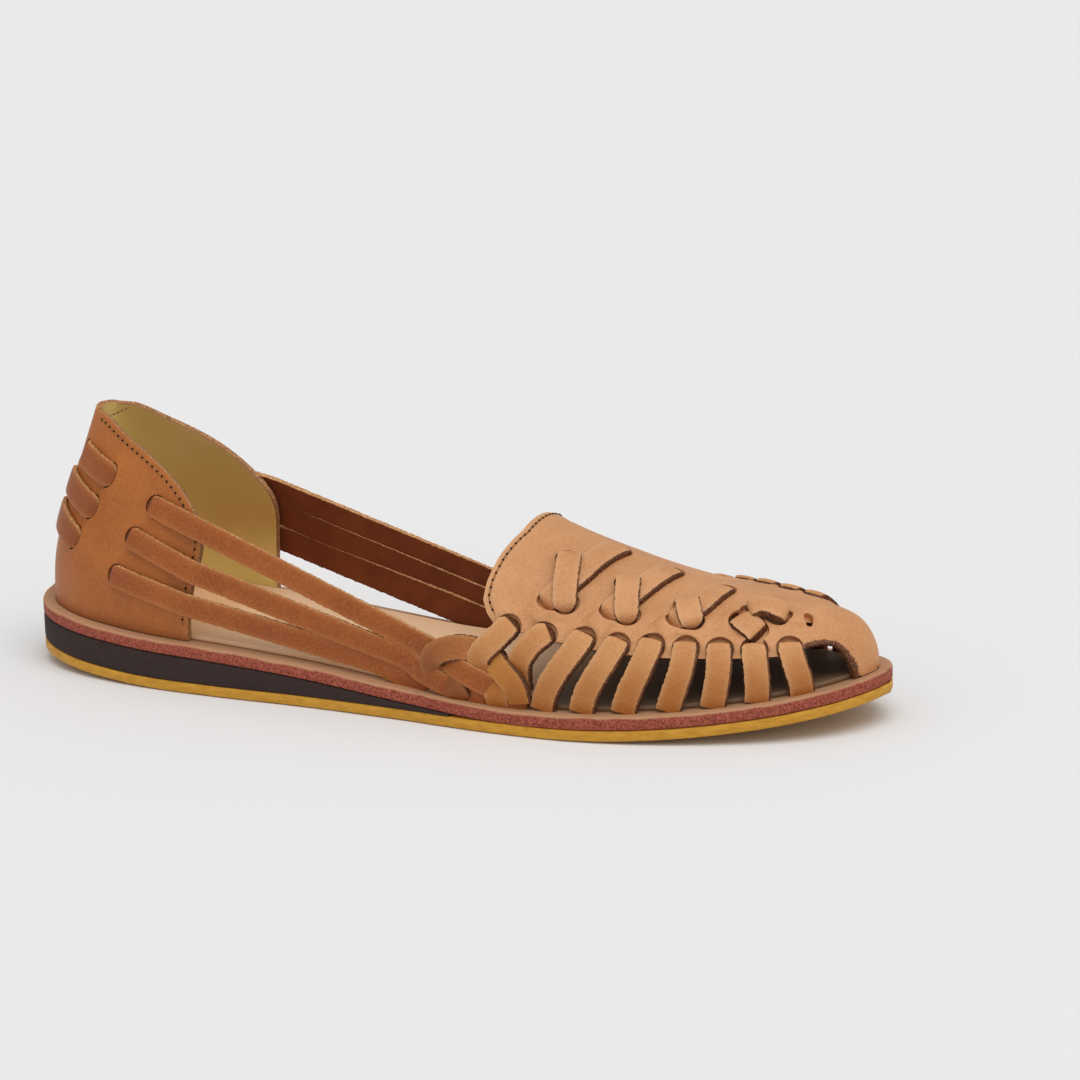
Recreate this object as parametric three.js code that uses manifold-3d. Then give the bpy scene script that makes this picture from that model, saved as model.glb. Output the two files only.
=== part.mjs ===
// Woven leather huarache sandal, the right shoe of a pair, empty on its sole.
// Millimetres. +X runs from the heel to the toe, +Y to the inner side of the foot, +Z up.
// The origin is on the floor, under the middle of the shoe's length.
import * as THREE from "three";
import { mergeVertices } from "three/addons/utils/BufferGeometryUtils.js";
import Module from "manifold-3d";

const wasm = await Module();
wasm.setup();

// ---- Driving dimensions ----
const shoeLength = 262;
const rim = 3.6; // how far the welt stands out beyond the upper
const wall = 2.0; // leather of the vamp, the straps and the heel counter
const gap = 0.3; // clearance between pieces that meet
const sliver = 0.03; // detail finer than this is smoothed away where solids are joined
const outsoleThickness = 2.9;
const weltThickness = 3.75;
const insoleThickness = 1.2;
const wedgeFront = 148; // where the wedge has thinned to nothing
const heelRise = 4; // the underside lifts a little behind this distance from the heel
const heelRiseLength = 60;
const toeSpring = 8.5; // the underside lifts from here to the tip
const springStart = 175;
const strapThickness = 1.5;
const strapWidth = 7;
const proudStrap = 0.9; // how far a side strap stands out of the panel
const strapBack = 0.8; // a strap's back is this far outside the inner face, inside the panel's wall

// The last, one row for each section from the back of the heel to the toe tip:
// distance from the heel, half-widths of the sole to the outer and inner side, thickness of the
// whole sole, height of the upper's ridge over the footbed, and how far that ridge is to +Y.
const lastRows = [
  { x: 0, outer: 0, inner: 0, sole: 14.6, ridge: 80, shift: 0 },
  { x: 5, outer: 16, inner: 16, sole: 14.7, ridge: 80, shift: 0 },
  { x: 17, outer: 25.5, inner: 25.5, sole: 14.8, ridge: 80, shift: 0 },
  { x: 40, outer: 32, inner: 31, sole: 14.8, ridge: 78, shift: 0 },
  { x: 70, outer: 34.5, inner: 30, sole: 14.0, ridge: 76, shift: 0 },
  { x: 100, outer: 35, inner: 27, sole: 11.9, ridge: 68, shift: 0 },
  { x: 130, outer: 37, inner: 28, sole: 9.0, ridge: 56, shift: 0 },
  { x: 160, outer: 40, inner: 34.5, sole: 7.0, ridge: 42.5, shift: 0.5 },
  { x: 185, outer: 40, inner: 40.5, sole: 6.95, ridge: 33, shift: 1 },
  { x: 205, outer: 36.5, inner: 41.5, sole: 6.95, ridge: 27, shift: 1.5 },
  { x: 225, outer: 30, inner: 37, sole: 6.95, ridge: 22.8, shift: 2.5 },
  { x: 243, outer: 21, inner: 29, sole: 6.95, ridge: 18.1, shift: 4 },
  { x: 256, outer: 9, inner: 19, sole: 6.95, ridge: 11.8, shift: 5.2 },
  { x: 262, outer: -6, inner: 6, sole: 6.95, ridge: 0, shift: 6 },
];
const toeTip = lastRows.length - 1;

// Side view of the heel counter's collar and wing, from the back of the heel to the welt.
const collarLine = [
  { x: -6, z: 76 },
  { x: 20.5, z: 75 },
  { x: 35, z: 68.8 },
  { x: 50, z: 60.8 },
  { x: 60, z: 51.8 },
  { x: 64.3, z: 43 },
  { x: 62.4, z: 29.5 },
  { x: 61.4, z: 20 },
  { x: 61.4, z: 5 },
];
const counterHeight = 64; // over the footbed, before the collar line cuts it
const leanSlope = 0.36; // the counter's upper half leans in by this much for each mm of height
const leanStart = 14;
const leanSoftness = 4;

// Nine straps down each side: where each leaves the panel and where it stands on the welt.
const sideStraps = [
  { slotX: 166, slotAcross: 0.64, footX: 161 },
  { slotX: 177.5, slotAcross: 0.63, footX: 168.5 },
  { slotX: 187, slotAcross: 0.59, footX: 176 },
  { slotX: 196.5, slotAcross: 0.575, footX: 188 },
  { slotX: 205, slotAcross: 0.545, innerAcross: 0.44, footX: 200 },
  { slotX: 214, slotAcross: 0.53, innerAcross: 0.35, footX: 212 },
  { slotX: 223, slotAcross: 0.53, innerAcross: 0.28, footX: 224 },
  { slotX: 232, slotAcross: 0.52, innerAcross: 0.24, footX: 235.5 },
  { slotX: 241, slotAcross: 0.49, innerAcross: 0.22, footX: 246.5 },
];

// Three straps on each side from a slot in the counter, over the wing, to the side weave.
// slotX and slotZ are where one comes out, wingX and wingZ where it leaves the counter, and
// weaveAcross is where its middle meets the weave at weaveX.
const weaveX = 140;
const weaveFront = 172;
const quarterStraps = [
  { slotX: 45.7, slotZ: 51.8, wingX: 65, wingZ: 46, weaveAcross: 0.87 },
  { slotX: 39.5, slotZ: 42.5, wingX: 64, wingZ: 34.5, weaveAcross: 0.93 },
  { slotX: 34.3, slotZ: 31.3, wingX: 63, wingZ: 25.4, weaveAcross: 0.965 },
];

// Three short bands on each side of the heel, between two slots: where each one starts and ends.
const backStraps = [
  { rearX: 18, rearZ: 62, frontX: 32, frontZ: 57 },
  { rearX: 12.5, rearZ: 53.3, frontX: 26.5, frontZ: 47.5 },
  { rearX: 9, rearZ: 44, frontX: 20.5, frontZ: 38 },
];

// Four crossings along the ridge of the vamp. Each has a short strip over a longer diagonal.
// x is the distance from the heel and s the place across, -1 at the outer welt and 0 on the ridge.
const crossings = [
  {
    strip: [{ x: 172.9, s: -0.2 }, { x: 179.2, s: -0.53 }],
    diagonal: [{ x: 172.6, s: -0.54 }, { x: 182, s: 0.1 }],
  },
  {
    strip: [{ x: 191.2, s: -0.2 }, { x: 197.2, s: -0.5 }],
    diagonal: [{ x: 190.4, s: -0.5 }, { x: 199, s: 0.1 }],
  },
  {
    strip: [{ x: 209.4, s: -0.25 }, { x: 215.7, s: -0.48 }],
    diagonal: [{ x: 209, s: -0.47 }, { x: 217.5, s: 0 }],
  },
  {
    strip: [{ x: 228, s: -0.32 }, { x: 239.8, s: -0.3 }],
    diagonal: [{ x: 225.4, s: -0.33 }, { x: 234, s: -0.46 }],
  },
];

// ---- The last ----
// The sole's outline is one closed curve: back of the heel, outer side, toe tip, inner side.
const outlinePoints = [];
for (const row of lastRows) {
  outlinePoints.push(new THREE.Vector3(row.x, -row.outer, 0));
}
for (const row of lastRows.slice(1, toeTip).reverse()) {
  outlinePoints.push(new THREE.Vector3(row.x, row.inner, 0));
}
const outline = new THREE.CatmullRomCurve3(outlinePoints, true);

// A place along the shoe is a station: a whole number is a row of the table.
function column(name, station) {
  const row = Math.min(Math.floor(station), toeTip - 1);
  const between = station - row;
  const value = (index) => {
    if (index > toeTip) return 2 * lastRows[toeTip][name] - lastRows[2 * toeTip - index][name];
    return lastRows[Math.abs(index)][name];
  };
  const [a, b, c, d] = [value(row - 1), value(row), value(row + 1), value(row + 2)];
  const cubic = -a + 3 * b - 3 * c + d;
  const square = 2 * a - 5 * b + 4 * c - d;
  return b + 0.5 * between * (c - a + between * (square + between * cubic));
}

function stationAt(x) {
  let low = 0;
  let high = toeTip;
  for (let step = 0; step < 40; step += 1) {
    const middle = (low + high) / 2;
    if (column("x", middle) < x) low = middle;
    else high = middle;
  }
  return (low + high) / 2;
}

// A point of the outline moved inwards. side is -1 on the outer side and +1 on the inner side.
function outlineAt(side, station, inset) {
  const along = side < 0 ? station / outlinePoints.length : 1 - station / outlinePoints.length;
  const point = outline.getPoint(THREE.MathUtils.euclideanModulo(along, 1));
  const tangent = outline.getTangent(THREE.MathUtils.euclideanModulo(along, 1));
  return point.add(new THREE.Vector3(-tangent.y, tangent.x, 0).multiplyScalar(inset));
}

function underside(x) {
  const heel = Math.max(0, (heelRiseLength - x) / heelRiseLength);
  const toe = Math.max(0, (x - springStart) / (shoeLength - springStart));
  return heelRise * heel ** 2 + toeSpring * toe ** 2;
}

function footbed(x) {
  return underside(x) + column("sole", stationAt(x));
}

// The upper's own function. s runs across from the outer welt at -1 over the ridge at 0 to the
// inner welt at +1, and grow is the distance outside the inner face of the leather.
function upperPoint(station, s, grow) {
  const edge = outlineAt(s < 0 ? -1 : 1, station, rim + wall - grow);
  const outerEdge = outlineAt(-1, station, rim + wall - grow);
  const innerEdge = outlineAt(1, station, rim + wall - grow);
  const middleX = (outerEdge.x + innerEdge.x) / 2;
  const ridgeY = THREE.MathUtils.clamp(
    column("shift", station),
    0.6 * outerEdge.y + 0.4 * innerEdge.y,
    0.4 * outerEdge.y + 0.6 * innerEdge.y,
  );
  const turn = (Math.abs(s) * Math.PI) / 2;
  const point = new THREE.Vector3(middleX, ridgeY, 0).lerp(edge, Math.sin(turn));
  const toeFade = Math.min(1, (toeTip - station) / 0.5);
  const height = column("ridge", station) + grow * toeFade;
  point.z = footbed(point.x) + gap + height * Math.max(0, Math.cos(turn)) ** 0.9;
  return point;
}

// The heel counter's function. side and station give the place round the heel, and height is
// measured up from the footbed.
function counterPoint(side, station, height, grow) {
  const over = (height - leanStart) / 2;
  const rest = Math.hypot(leanStart / 2, leanSoftness) - leanStart / 2;
  const lean = leanSlope * (over + Math.hypot(over, leanSoftness) - rest);
  const foot = outlineAt(side, station, rim + wall - grow);
  const point = outlineAt(side, station, rim + wall - grow + lean);
  point.z = footbed(foot.x) + gap + height;
  return point;
}

// ---- Making solids ----
// A closed solid between two faces of a grid. place(u, v, face) gives a point, with u and v from
// 0 to 1 and face 0 on the inside and 1 on the outside.
function patch(uSteps, vSteps, place) {
  const positions = [];
  const index = (i, j, face) => (i * (vSteps + 1) + j) * 2 + face;
  for (let i = 0; i <= uSteps; i += 1) {
    for (let j = 0; j <= vSteps; j += 1) {
      positions.push(...place(i / uSteps, j / vSteps, 0).toArray());
      positions.push(...place(i / uSteps, j / vSteps, 1).toArray());
    }
  }
  const triangles = [];
  const quad = (a, b, c, d) => triangles.push(a, b, c, a, c, d);
  for (let i = 0; i < uSteps; i += 1) {
    for (let j = 0; j < vSteps; j += 1) {
      quad(index(i, j, 1), index(i + 1, j, 1), index(i + 1, j + 1, 1), index(i, j + 1, 1));
      quad(index(i, j, 0), index(i, j + 1, 0), index(i + 1, j + 1, 0), index(i + 1, j, 0));
    }
  }
  for (let i = 0; i < uSteps; i += 1) {
    quad(index(i, 0, 0), index(i + 1, 0, 0), index(i + 1, 0, 1), index(i, 0, 1));
    quad(index(i, vSteps, 1), index(i + 1, vSteps, 1), index(i + 1, vSteps, 0), index(i, vSteps, 0));
  }
  for (let j = 0; j < vSteps; j += 1) {
    quad(index(0, j, 1), index(0, j + 1, 1), index(0, j + 1, 0), index(0, j, 0));
    quad(index(uSteps, j, 0), index(uSteps, j + 1, 0), index(uSteps, j + 1, 1), index(uSteps, j, 1));
  }
  const geometry = new THREE.BufferGeometry();
  geometry.setAttribute("position", new THREE.Float32BufferAttribute(positions, 3));
  geometry.setIndex(triangles);
  return solidFrom(geometry);
}

// A manifold solid from a closed geometry, whichever way its faces were wound.
function solidFrom(geometry) {
  geometry.deleteAttribute("normal");
  geometry.deleteAttribute("uv");
  const merged = mergeVertices(geometry, 1e-3);
  const point = merged.getAttribute("position");
  const corners = [0, 1, 2].map(() => new THREE.Vector3());
  const kept = [];
  let volume = 0;
  for (let k = 0; k < merged.index.count; k += 3) {
    const triangle = [0, 1, 2].map((n) => merged.index.getX(k + n));
    if (new Set(triangle).size < 3) continue;
    triangle.forEach((vertex, n) => corners[n].fromBufferAttribute(point, vertex));
    volume += corners[0].dot(corners[1].clone().cross(corners[2]));
    kept.push(triangle);
  }
  const wound = volume > 0 ? kept : kept.map(([a, b, c]) => [a, c, b]);
  const triVerts = new Uint32Array(wound.flat());
  return new wasm.Manifold(new wasm.Mesh({ numProp: 3, vertProperties: point.array, triVerts }));
}

// Joining leaves slivers where two walls nearly meet, so they are closed up afterwards.
function join(solids) {
  return solids.reduce((whole, solid) => whole.add(solid)).simplify(sliver);
}

const shoe = new THREE.Group();
shoe.name = "huarache_sandal";
shoe.position.x = -shoeLength / 2;

function piece(name, solid, material) {
  const made = solid.getMesh();
  const geometry = new THREE.BufferGeometry();
  geometry.setAttribute("position", new THREE.BufferAttribute(made.vertProperties, 3));
  geometry.setIndex(new THREE.BufferAttribute(made.triVerts, 1));
  geometry.computeVertexNormals();
  const mesh = new THREE.Mesh(geometry, material);
  mesh.name = name;
  shoe.add(mesh);
}

// ---- Materials ----
const leather = (color, roughness) => new THREE.MeshStandardMaterial({ color, roughness });
const vampLeather = leather(0xd6a076, 0.55);
const quarterLeather = leather(0xa05f37, 0.5);
const footbedLeather = leather(0xc8a073, 0.6);
const weltLeather = leather(0x96583e, 0.7);
const wedgeRubber = leather(0x3c2d2a, 0.85);
const crepeRubber = leather(0xb4872a, 0.7);

// ---- Sole ----
// One layer of the sole, between two heights that depend on the distance from the heel.
function layer(inset, frontStation, bottom, top) {
  const steps = Math.round(frontStation * 4);
  return patch(steps, 1, (u, v, face) => {
    const point = outlineAt(v < 0.5 ? -1 : 1, u * frontStation, inset);
    point.z = face === 0 ? bottom(point.x) : top(point.x);
    return point;
  });
}

const outsole = layer(0, toeTip, underside, (x) => underside(x) + outsoleThickness);
const welt = layer(0, toeTip, (x) => footbed(x) - weltThickness, footbed);
const wedge = layer(
  0,
  stationAt(wedgeFront),
  (x) => underside(x) + outsoleThickness + gap,
  (x) => footbed(x) - weltThickness - gap,
);
const insole = layer(
  rim + wall + gap,
  toeTip,
  (x) => footbed(x) + gap,
  (x) => footbed(x) + gap + insoleThickness,
);

// ---- Heel counter ----
const counterEnd = stationAt(72);

function counterShell(growInside, growOutside) {
  return patch(40, 10, (u, v, face) => {
    const around = (2 * u - 1) * counterEnd;
    const grow = face === 0 ? growInside : growOutside;
    return counterPoint(around < 0 ? -1 : 1, Math.abs(around), v * counterHeight, grow);
  });
}

// A prism through the whole width of the shoe, from its side view.
function sidePrism(points) {
  const halfWidth = 60;
  const shape = new THREE.Shape(points.map(({ x, z }) => new THREE.Vector2(x, z)));
  const geometry = new THREE.ExtrudeGeometry(shape, { depth: 2 * halfWidth, bevelEnabled: false });
  geometry.rotateX(Math.PI / 2);
  geometry.translate(0, halfWidth, 0);
  return solidFrom(geometry);
}

const collarCurve = new THREE.SplineCurve(collarLine.map(({ x, z }) => new THREE.Vector2(x, z)));
const sideOfCounter = collarCurve.getPoints(28).map((point) => ({ x: point.x, z: point.y }));
sideOfCounter.push({ x: -6, z: 5 });
const counter = counterShell(0, wall).intersect(sidePrism(sideOfCounter));

// The station where the counter, grown out to its straps, has a given distance from the heel.
function counterStation(side, x, height, grow) {
  let low = 0;
  let high = 6;
  for (let step = 0; step < 30; step += 1) {
    const middle = (low + high) / 2;
    if (counterPoint(side, middle, height, grow).x < x) low = middle;
    else high = middle;
  }
  return (low + high) / 2;
}

const strapInside = wall + gap + 0.2; // the facets of a bent strap dip towards the counter
const strapOutside = strapInside + strapThickness;

// A short band that lies on the outside of the counter, between a rear and a front slot.
function backStrap(side, { rearX, rearZ, frontX, frontZ }) {
  return patch(6, 1, (u, v, face) => {
    const x = THREE.MathUtils.lerp(rearX, frontX, u);
    const middle = THREE.MathUtils.lerp(rearZ, frontZ, u) - footbed(x) - gap;
    const height = middle + (v - 0.5) * strapWidth;
    const grow = face === 0 ? strapInside : strapOutside;
    return counterPoint(side, counterStation(side, x, height, grow), height, grow);
  });
}

// ---- Upper ----
// The inner straps sit a little further back towards the toe, because the toe tip is inwards.
function sideX(side, x) {
  const forward = Math.max(0, (x - 150) / (shoeLength - 150));
  return side < 0 ? x : x - 5 * forward ** 2;
}

const throatStation = stationAt(157.5);
const panelEdge = 0.68; // how far down the panel reaches on each side
const holeStation = stationAt(250);
const capStation = stationAt(256.5);

// Half-width of the panel, in s: a rounded throat, a plain edge, the toe opening, then the toe.
function panelReach(station) {
  if (station > capStation) return 1;
  const corner = Math.min(1, (station - throatStation) / 0.12);
  const rounded = panelEdge - 0.07 * (1 - Math.sqrt(Math.max(0, corner * (2 - corner))));
  const arch = Math.max(0, 1 - Math.abs(station - holeStation) / 0.6);
  return rounded - 0.12 * arch;
}

function vampPanel() {
  const stations = [0, 0.04, 0.12].map((ahead) => throatStation + ahead);
  for (let station = 7.25; station < capStation - 0.05; station += 0.25) stations.push(station);
  stations.push(capStation - 0.05, capStation + 0.02, 12.4, 12.6, 12.8, 12.93, toeTip);
  return patch(stations.length - 1, 24, (u, v, face) => {
    const station = stations[Math.round(u * (stations.length - 1))];
    const s = (2 * v - 1) * panelReach(station);
    return upperPoint(station, s, face * wall);
  });
}

// A strap that lies on the upper's surface between two places, each a station and an s.
function strapOnUpper(from, to, width, inside, outside) {
  const start = upperPoint(from.station, from.s, wall);
  const end = upperPoint(to.station, to.s, wall);
  const run = end.clone().sub(start);
  const steps = Math.max(3, Math.round(run.length() / 5));
  const stationLength = upperPoint(from.station + 0.5, from.s, wall)
    .distanceTo(upperPoint(from.station - 0.5, from.s, wall));
  const acrossLength = upperPoint(from.station, from.s + 0.05, wall)
    .distanceTo(upperPoint(from.station, from.s - 0.05, wall)) / 0.1;
  const alongRun = (to.station - from.station) * stationLength;
  const acrossRun = (to.s - from.s) * acrossLength;
  const length = Math.hypot(alongRun, acrossRun);
  return patch(steps, 2, (u, v, face) => {
    const offset = (v - 0.5) * width;
    const station = THREE.MathUtils.lerp(from.station, to.station, u)
      - (offset * acrossRun) / length / stationLength;
    const s = THREE.MathUtils.lerp(from.s, to.s, u) + (offset * alongRun) / length / acrossLength;
    const grow = face === 0 ? inside(u) : outside(u);
    return upperPoint(station, THREE.MathUtils.clamp(s, -1, 1), grow);
  });
}

// A side strap keeps its width along the shoe, so that its foot stands square on the welt.
function sideStrap(side, { slotX, slotAcross, innerAcross = slotAcross, footX }) {
  const foot = stationAt(sideX(side, footX));
  const slot = stationAt(sideX(side, slotX));
  const stationLength = column("x", foot + 0.5) - column("x", foot - 0.5);
  const halfWidth = strapWidth / 2 / stationLength;
  return patch(7, 1, (u, v, face) => {
    const sweep = u * u * (3 - 2 * u);
    const station = THREE.MathUtils.lerp(slot, foot, sweep) + (2 * v - 1) * halfWidth;
    const across = THREE.MathUtils.lerp((side < 0 ? slotAcross : innerAcross) - 0.02, footX < weaveFront ? 0.96 : 1, u);
    const sink = u === 0 ? 1.5 * proudStrap : 0;
    const grow = face === 0 ? strapBack : wall + proudStrap - sink;
    return upperPoint(station, side * across, grow);
  });
}

// The close weave low on the side, where the quarter straps cross the first side straps.
function sideWeave(side) {
  return patch(8, 3, (u, v, face) => {
    const station = stationAt(THREE.MathUtils.lerp(weaveX - 4, weaveFront, u));
    const top = THREE.MathUtils.lerp(0.86, 0.79, Math.min(1, 2 * u));
    return upperPoint(station, side * THREE.MathUtils.lerp(top, 1, v), face === 0 ? 0.4 : wall + 0.6);
  });
}

// A quarter strap lies on the counter from its slot to the wing, then runs straight to the weave.
function quarterStrap(side, { slotX, slotZ, wingX, wingZ, weaveAcross }) {
  const onCounter = 4;
  const inAir = 7;
  const steps = onCounter + inAir;
  const front = stationAt(weaveX);
  const acrossLength = upperPoint(front, side * (weaveAcross - 0.05), wall)
    .distanceTo(upperPoint(front, side * (weaveAcross + 0.05), wall)) / 0.1;
  const counterRow = (part, v, face) => {
    const x = THREE.MathUtils.lerp(slotX, wingX, part);
    const middle = THREE.MathUtils.lerp(slotZ, wingZ, part) - footbed(x) - gap;
    const grow = face === 0 ? strapInside : strapOutside;
    const height = middle + (0.5 - v) * strapWidth * 1.05;
    return counterPoint(side, counterStation(side, x - (0.5 - v) * -2, height, grow), height, grow);
  };
  const weaveRow = (v, face) => {
    const across = weaveAcross + ((v - 0.5) * strapWidth) / acrossLength;
    return upperPoint(front, side * Math.min(0.985, across), strapBack + face * (strapThickness - 0.1));
  };
  return patch(steps, 1, (u, v, face) => {
    const row = Math.round(u * steps);
    if (row <= onCounter) return counterRow(row / onCounter, v, face);
    return counterRow(1, v, face).lerp(weaveRow(v, face), (row - onCounter) / inAir);
  });
}

const upperSolids = [vampPanel()];
for (const side of [-1, 1]) {
  for (const strap of sideStraps) upperSolids.push(sideStrap(side, strap));
  for (const strap of quarterStraps) upperSolids.push(quarterStrap(side, strap));
  upperSolids.push(sideWeave(side));
}
const upper = join(upperSolids);

// A crossing: the strip arches over the diagonal, and both clear the panel.
function crossing({ strip, diagonal }) {
  const place = ({ x, s }) => ({ station: stationAt(x), s });
  const low = () => strapInside;
  const lowTop = () => strapOutside - 0.2;
  const arch = (u) => strapOutside - 0.3 + 1.3 * Math.sin(Math.PI * u);
  return join([
    strapOnUpper(place(diagonal[0]), place(diagonal[1]), strapWidth, low, lowTop),
    strapOnUpper(place(strip[0]), place(strip[1]), strapWidth, low, arch),
  ]);
}

// ---- The pieces ----
piece("outsole", outsole, crepeRubber);
piece("midsole_wedge", wedge, wedgeRubber);
piece("welt", welt, weltLeather);
piece("insole", insole, footbedLeather);
piece("heel_counter", counter, quarterLeather);
piece("upper", upper, vampLeather);
backStraps.forEach((strap, n) => {
  piece(`back_strap_outer_${n + 1}`, backStrap(-1, strap), quarterLeather);
  piece(`back_strap_inner_${n + 1}`, backStrap(1, strap), quarterLeather);
});
crossings.forEach((pair, n) => piece(`lacing_cross_${n + 1}`, crossing(pair), vampLeather));

export default shoe;
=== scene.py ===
"""Looks of a woven leather huarache sandal, built round its CAD frame.

The tables and the shape functions are in millimetres, with x measured from the back of the heel,
y to the inner side of the foot and z up. to_frame() turns them into metres in the frame's axes.
"""
import math
import random

import bpy
import numpy as np
from mathutils import Matrix, Vector


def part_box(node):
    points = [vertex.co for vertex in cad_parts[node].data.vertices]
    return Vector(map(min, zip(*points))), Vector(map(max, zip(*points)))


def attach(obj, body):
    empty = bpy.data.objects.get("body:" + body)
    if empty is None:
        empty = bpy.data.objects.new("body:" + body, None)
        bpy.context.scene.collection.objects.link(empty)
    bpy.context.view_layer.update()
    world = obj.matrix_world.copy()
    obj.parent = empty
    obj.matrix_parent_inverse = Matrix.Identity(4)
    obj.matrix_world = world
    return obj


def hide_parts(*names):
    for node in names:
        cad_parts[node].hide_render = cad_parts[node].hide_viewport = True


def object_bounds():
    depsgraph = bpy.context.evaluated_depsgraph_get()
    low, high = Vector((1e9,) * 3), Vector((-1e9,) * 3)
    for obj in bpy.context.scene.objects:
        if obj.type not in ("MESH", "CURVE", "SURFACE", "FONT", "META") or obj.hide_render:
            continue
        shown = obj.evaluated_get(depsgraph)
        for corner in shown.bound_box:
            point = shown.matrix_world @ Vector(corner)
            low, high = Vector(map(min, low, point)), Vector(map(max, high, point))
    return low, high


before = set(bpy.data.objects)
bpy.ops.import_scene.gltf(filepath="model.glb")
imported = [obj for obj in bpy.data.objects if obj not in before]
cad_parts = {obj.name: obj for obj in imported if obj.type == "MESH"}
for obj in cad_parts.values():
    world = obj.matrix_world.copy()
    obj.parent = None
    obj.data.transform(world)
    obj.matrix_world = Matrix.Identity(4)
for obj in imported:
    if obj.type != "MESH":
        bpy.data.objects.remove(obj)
cad_box = [list(corner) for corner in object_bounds()]
bpy.ops.object.select_all(action="DESELECT")

MM = 0.001
outsole_low, outsole_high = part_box("outsole")
SHOE_LENGTH = (outsole_high.x - outsole_low.x) / MM
HEEL_X = outsole_low.x / MM

# ---- Driving sizes, as in the CAD part ----
RIM = 3.6
WALL = 2.0
GAP = 0.3
OUTSOLE = 2.9
WELT = 3.75
INSOLE = 1.2
WEDGE_FRONT = 148
HEEL_RISE, HEEL_RISE_LENGTH = 4, 60
TOE_SPRING, SPRING_START = 8.5, 175
LEAN_SLOPE, LEAN_START, LEAN_SOFTNESS = 0.36, 14, 4
STRAP = 2.0
STRAP_WIDTH = 7.2
QUARTER_WIDTH = 6.4
INNER_QUARTER_WIDTH = 8.0

# x, outer and inner half-width of the sole, sole thickness, ridge height, ridge shift
LAST = np.array([
    (0, 0, 0, 14.6, 80, 0),
    (5, 16, 16, 14.7, 80, 0),
    (17, 25.5, 25.5, 14.8, 80, 0),
    (40, 32, 31, 14.8, 78, 0),
    (70, 34.5, 30, 14.0, 76, 0),
    (100, 35, 27, 11.9, 68, 0),
    (130, 37, 28, 9.0, 56, 0),
    (160, 40, 34.5, 7.0, 42.5, 0.5),
    (185, 40, 40.5, 6.95, 33, 1),
    (205, 36.5, 41.5, 6.95, 27, 1.5),
    (225, 30, 37, 6.95, 22.8, 2.5),
    (243, 21, 29, 6.95, 18.1, 4),
    (256, 9, 19, 6.95, 11.8, 5.2),
    (262, -6, 6, 6.95, 0, 6),
], float)
X, OUTER, INNER, SOLE, RIDGE, SHIFT = range(6)
TOE = len(LAST) - 1

# Side view of the counter's collar and wing: x, z
COLLAR_LINE = [(-6, 76), (20.5, 75), (35, 68.8), (50, 60.8), (60, 51.8), (64.3, 43), (62.4, 29.5),
               (61.4, 20), (61.4, 5)]


# ---- The last ----
def catmull_rom(before, start, end, after, t):
    """One stretch of an even Catmull-Rom curve."""
    cubic = -before + 3 * start - 3 * end + after
    square = 2 * before - 5 * start + 4 * end - after
    return start + 0.5 * t * (end - before + t * (square + t * cubic))


def outline_samples(steps):
    """The sole's closed outline as a centripetal Catmull-Rom curve, and its inward normals."""
    outer = [(row[X], -row[OUTER]) for row in LAST]
    inner = [(row[X], row[INNER]) for row in LAST[1:TOE][::-1]]
    ring = np.array(outer + inner)
    before, start, end, after = (np.roll(ring, shift, axis=0) for shift in (1, 0, -1, -2))

    def knot(a, b):
        return np.sqrt(np.linalg.norm(b - a, axis=1))[:, None]

    d0, d1, d2 = knot(before, start), knot(start, end), knot(end, after)
    leave = ((start - before) / d0 - (end - before) / (d0 + d1) + (end - start) / d1) * d1
    arrive = ((end - start) / d1 - (after - start) / (d1 + d2) + (after - end) / d2) * d1
    t = (np.arange(steps) / steps)[None, :, None]
    start, end, leave, arrive = (a[:, None, :] for a in (start, end, leave, arrive))
    points = start + leave * t + (3 * (end - start) - 2 * leave - arrive) * t ** 2
    points = points + (2 * (start - end) + leave + arrive) * t ** 3
    points = points.reshape(-1, 2)
    tangent = np.roll(points, -1, axis=0) - np.roll(points, 1, axis=0)
    tangent /= np.linalg.norm(tangent, axis=1)[:, None]
    return points, np.stack([-tangent[:, 1], tangent[:, 0]], axis=1), len(ring)


SAMPLES = 100
RING, RING_IN, RING_COUNT = outline_samples(SAMPLES)


def ring_point(turn, inset):
    """A point of the outline, turn counting its rows from the heel round the outer side."""
    place = np.mod(turn * SAMPLES, len(RING))
    low = np.floor(place).astype(int) % len(RING)
    high = (low + 1) % len(RING)
    part = (place - np.floor(place))[..., None]
    point = RING[low] * (1 - part) + RING[high] * part
    inward = RING_IN[low] * (1 - part) + RING_IN[high] * part
    return point + inward * np.asarray(inset, float)[..., None]


def outline_at(side, station, inset):
    """A point of the outline moved inwards: side is -1 outside and +1 inside the foot."""
    side, station, inset = np.broadcast_arrays(side, station, inset)
    return ring_point(np.where(side < 0, station, RING_COUNT - station), inset)


def column(index, station):
    """A column of the last's table at any place between its rows."""
    values = LAST[:, index]
    padded = np.concatenate([[values[1]], values, [2 * values[-1] - values[-2]]])
    row = np.clip(np.floor(station).astype(int), 0, TOE - 1)
    return catmull_rom(padded[row], padded[row + 1], padded[row + 2], padded[row + 3], station - row)


STATIONS = np.linspace(0, TOE, 2601)
STATION_X = column(X, STATIONS)


def station_at(x):
    return np.interp(x, STATION_X, STATIONS)


def underside(x):
    heel = np.maximum(0, (HEEL_RISE_LENGTH - x) / HEEL_RISE_LENGTH)
    toe = np.maximum(0, (x - SPRING_START) / (SHOE_LENGTH - SPRING_START))
    return HEEL_RISE * heel ** 2 + TOE_SPRING * toe ** 2


def footbed(x):
    return underside(x) + column(SOLE, station_at(x))


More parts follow.
